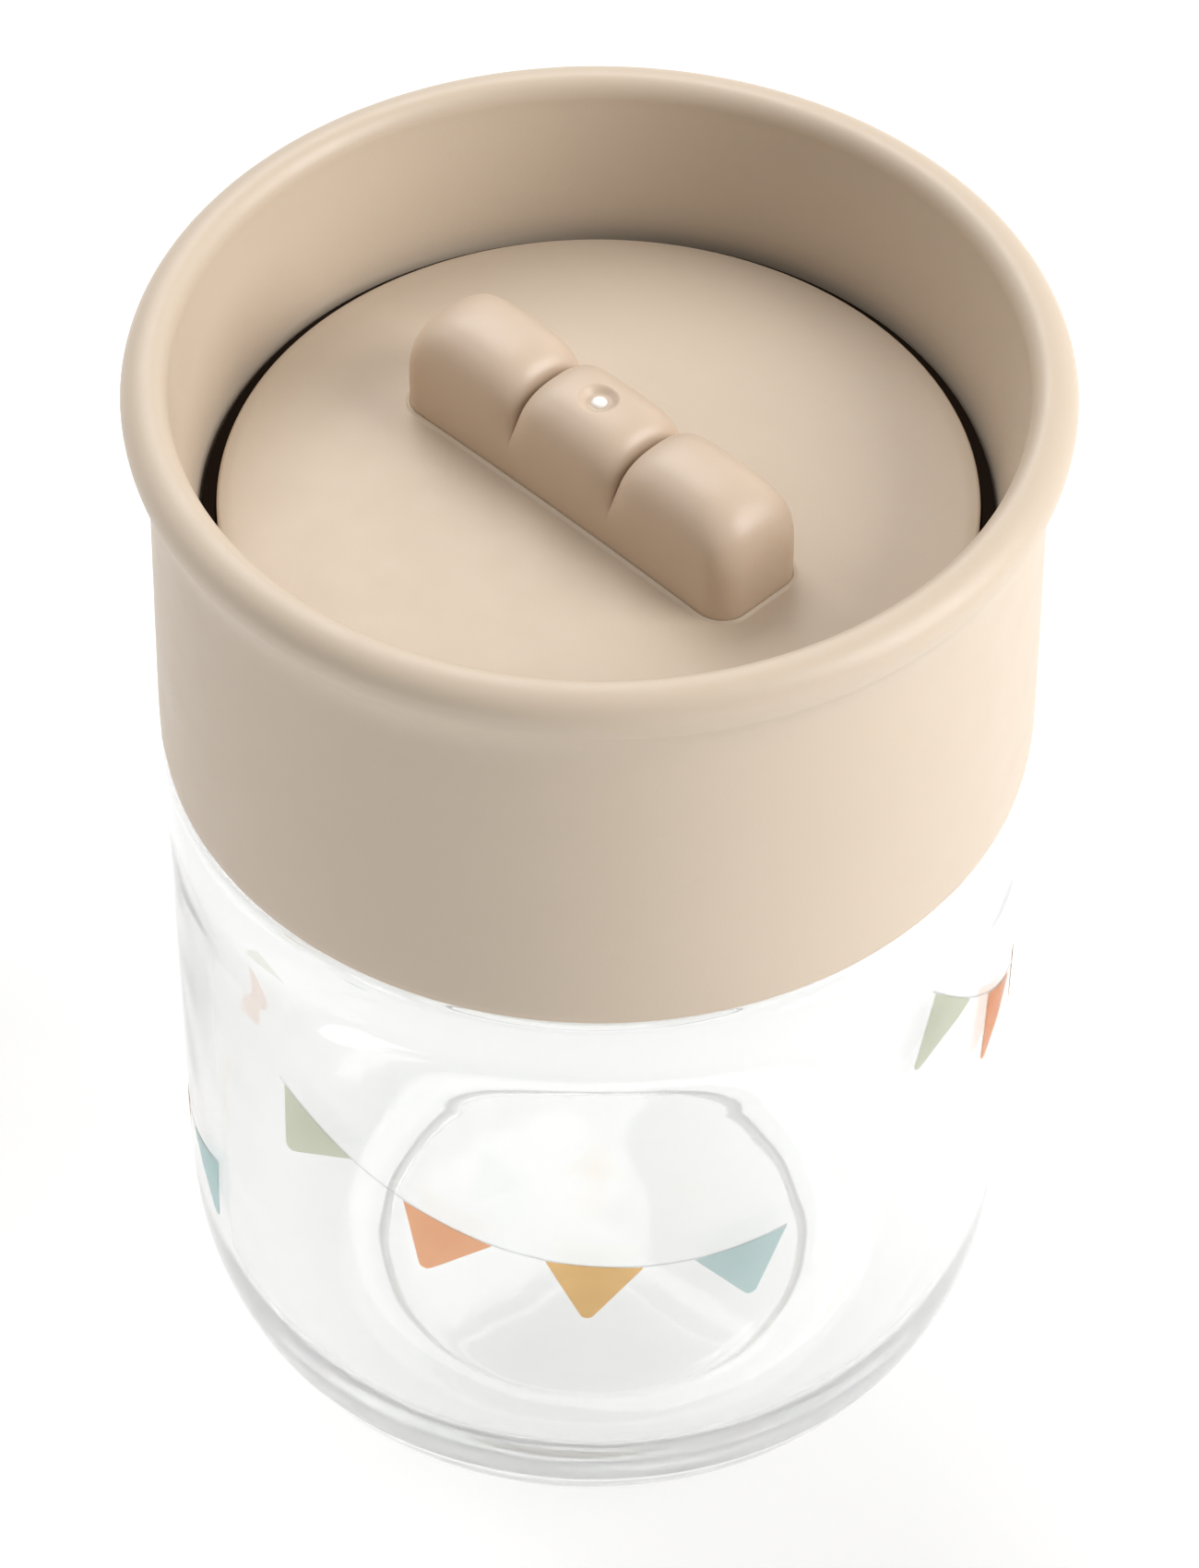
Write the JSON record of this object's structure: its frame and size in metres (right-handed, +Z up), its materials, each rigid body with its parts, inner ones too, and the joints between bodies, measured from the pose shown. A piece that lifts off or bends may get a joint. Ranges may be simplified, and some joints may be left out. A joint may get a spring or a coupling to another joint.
{
  "type": "sippy cup",
  "caption": "Lidded training cup with a drinking rim all the way round: clear rounded tumbler, matte screw collar and a lift-out disc valve with a lobed finger grip.",
  "frame": {"origin": "centre of the cup's foot, on the plane that it stands on", "axes": "+Z up along the cup's axis, +X along the finger grip, +Y across it"},
  "size_m": [0.076, 0.076, 0.109],
  "materials": {
    "clear_wall": "clear and polished",
    "collar_shell": "satin matte beige",
    "gasket_silicone": "matte translucent silicone",
    "carrier_plastic": "satin matte beige",
    "seal_silicone": "matte dark silicone",
    "washer_plastic": "satin white",
    "disc_plastic": "satin matte beige",
    "grip_plastic": "satin beige",
    "ring_silicone": "matte translucent silicone",
    "vent_plastic": "smooth white",
    "flap_silicone": "matte translucent silicone"
  },
  "bodies": {
    "cup": {"cup_body": "clear_wall"},
    "gasket_ring": {"collar_gasket": "gasket_silicone"},
    "rim_collar": {"collar": "collar_shell", "valve_carrier": "carrier_plastic"},
    "valve_unit": {"valve_seal": "seal_silicone", "seal_washer": "washer_plastic", "disc_cover": "disc_plastic", "finger_grip": "grip_plastic", "stem_ring": "ring_silicone", "vent_insert": "vent_plastic", "vent_flap": "flap_silicone"}
  },
  "joints": [
    {"name": "collar_rise", "type": "slide", "parent": "cup", "child": "gasket_ring", "axis": [0, 0, 1], "range_m": [0, 0.027]},
    {"name": "collar_unscrew", "type": "hinge", "parent": "gasket_ring", "child": "rim_collar", "pos_m": [0, 0, 0.0713], "axis": [0, 0, 1], "range_deg": [0, 810]},
    {"name": "valve_lift", "type": "slide", "parent": "rim_collar", "child": "valve_unit", "axis": [0, 0, 1], "range_m": [0, 0.035]}
  ],
  "couplings": [
    {"joint": "collar_rise", "follows": "collar_unscrew", "m_per_rad": 0.0019099}
  ]
}
